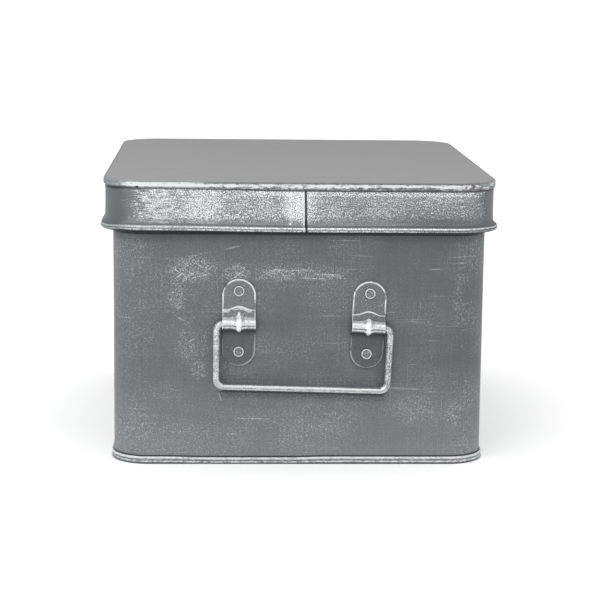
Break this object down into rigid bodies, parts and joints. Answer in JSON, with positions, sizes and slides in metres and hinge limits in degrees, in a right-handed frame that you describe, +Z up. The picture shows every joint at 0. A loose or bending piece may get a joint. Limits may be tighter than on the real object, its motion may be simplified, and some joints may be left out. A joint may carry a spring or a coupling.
{
  "type": "metal storage box",
  "caption": "Sheet-metal storage box for papers and keepsakes, with a lift-off banded lid and a drop handle riveted to each end.",
  "frame": {"origin": "middle of the base, on the surface that the box stands on", "axes": "+X to the right across the pictured end, +Y from that end to the far end, +Z up"},
  "size_m": [0.2134, 0.254, 0.153],
  "materials": {
    "box_paint": "grey-blue paint, dry-brushed with silver and lightly scuffed",
    "lid_top_paint": "matt mid-grey paint, near plain",
    "lid_band_paint": "grey paint heavily silvered by dry brushing",
    "core_wire": "plain drawn steel wire, hidden in the rolled edges",
    "handle_wire": "worn silvery paint over steel wire",
    "clip_metal": "grey paint with bright worn edges and knuckle",
    "rivet_metal": "grey paint with a bright worn ring"
  },
  "bodies": {
    "box": {"body_wall": "box_paint", "base_pan": "box_paint", "body_rim_wire": "core_wire", "front_left_clip": "clip_metal", "front_right_clip": "clip_metal", "rear_left_clip": "clip_metal", "rear_right_clip": "clip_metal", "front_left_upper_rivet": "rivet_metal", "front_left_lower_rivet": "rivet_metal", "front_right_upper_rivet": "rivet_metal", "front_right_lower_rivet": "rivet_metal", "rear_left_upper_rivet": "rivet_metal", "rear_left_lower_rivet": "rivet_metal", "rear_right_upper_rivet": "rivet_metal", "rear_right_lower_rivet": "rivet_metal"},
    "lid": {"lid_top_panel": "lid_top_paint", "lid_band": "lid_band_paint", "lid_bead_wire": "core_wire"},
    "front_handle": {"front_handle": "handle_wire"},
    "rear_handle": {"rear_handle": "handle_wire"}
  },
  "joints": [
    {"name": "lid_lift", "type": "slide", "parent": "box", "child": "lid", "axis": [0, 0, 1], "range_m": [0, 0.06]},
    {"name": "front_handle_swing", "type": "hinge", "parent": "box", "child": "front_handle", "pos_m": [0.0019, -0.123, 0.0761], "axis": [-0.9997, 0, 0.0244], "range_deg": [0, 180]},
    {"name": "rear_handle_swing", "type": "hinge", "parent": "box", "child": "rear_handle", "pos_m": [0, 0.123, 0.0761], "axis": [1, 0, 0], "range_deg": [0, 180]}
  ]
}
